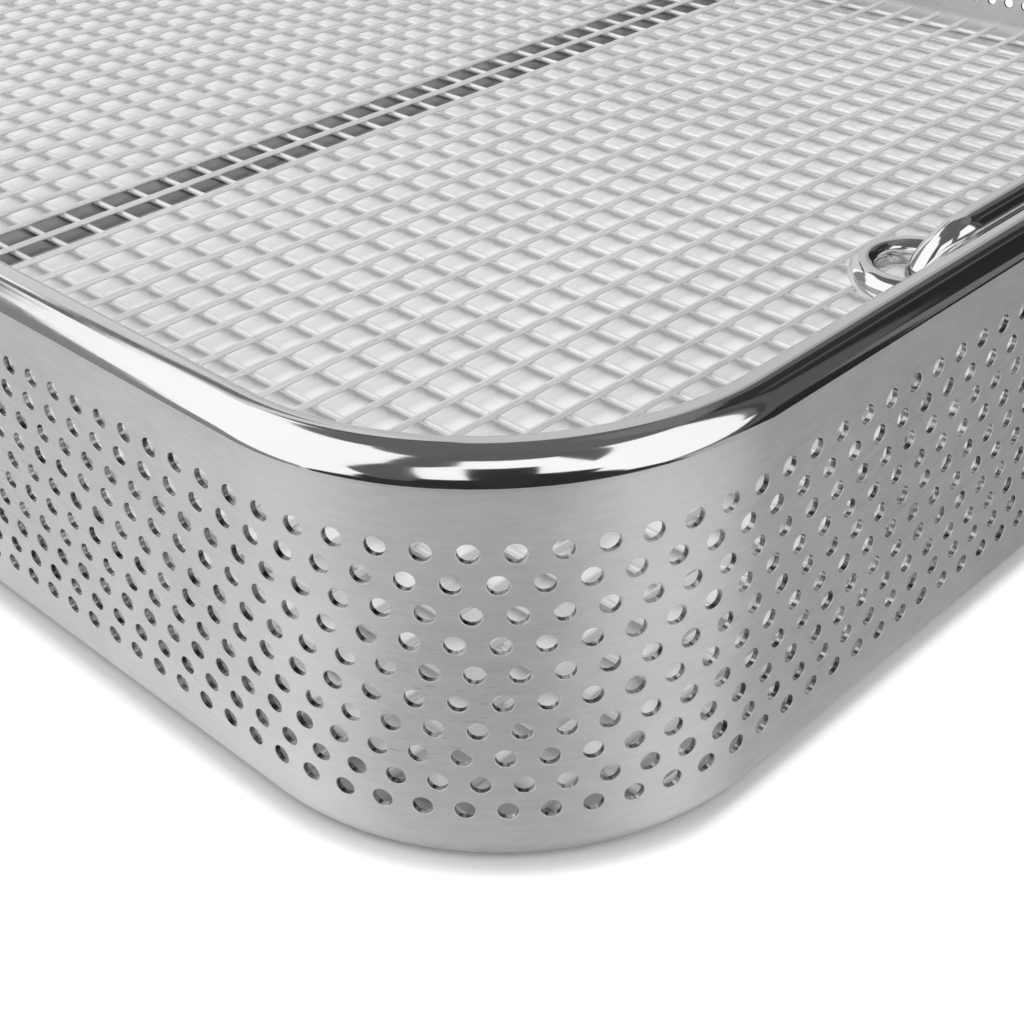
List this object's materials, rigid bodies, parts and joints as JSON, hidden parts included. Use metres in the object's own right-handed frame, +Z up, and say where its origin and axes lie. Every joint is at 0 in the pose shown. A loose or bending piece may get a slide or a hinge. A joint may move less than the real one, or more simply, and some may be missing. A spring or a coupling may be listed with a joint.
{
  "type": "sterilization basket",
  "caption": "Low rectangular steel instrument basket with rounded corners, perforated walls, a round rim rod, a wire mesh floor and a sliding drop handle at each end.",
  "frame": {"origin": "centre of the underside, on the surface that the basket stands on", "axes": "+X along the long side, +Y across it, +Z up; the drop handles are at the -X and +X ends"},
  "size_m": [0.4868, 0.2568, 0.0457],
  "materials": {
    "satin_wall": "satin brushed stainless steel, grain along the strip",
    "polished_rod": "mirror polished stainless steel",
    "mesh_wire": "bright electropolished wire"
  },
  "bodies": {
    "basket": {"wall_front": "satin_wall", "wall_back": "satin_wall", "wall_left": "satin_wall", "wall_right": "satin_wall", "wall_corner_front_left": "satin_wall", "wall_corner_front_right": "satin_wall", "wall_corner_back_left": "satin_wall", "wall_corner_back_right": "satin_wall", "rim_front": "polished_rod", "rim_back": "polished_rod", "rim_left": "polished_rod", "rim_right": "polished_rod", "rim_corner_front_left": "polished_rod", "rim_corner_front_right": "polished_rod", "rim_corner_back_left": "polished_rod", "rim_corner_back_right": "polished_rod", "floor_mesh": "mesh_wire", "floor_strip_left": "satin_wall", "floor_strip_right": "satin_wall", "guide_ring_front_left": "polished_rod", "guide_ring_front_right": "polished_rod", "guide_ring_back_left": "polished_rod", "guide_ring_back_right": "polished_rod"},
    "left_handle": {"drop_handle_left": "polished_rod"},
    "right_handle": {"drop_handle_right": "polished_rod"}
  },
  "joints": [
    {"name": "left_handle_slide", "type": "slide", "parent": "basket", "child": "left_handle", "axis": [0, 0, 1], "range_m": [0, 0.028]},
    {"name": "right_handle_slide", "type": "slide", "parent": "basket", "child": "right_handle", "axis": [0, 0, 1], "range_m": [0, 0.028]}
  ]
}
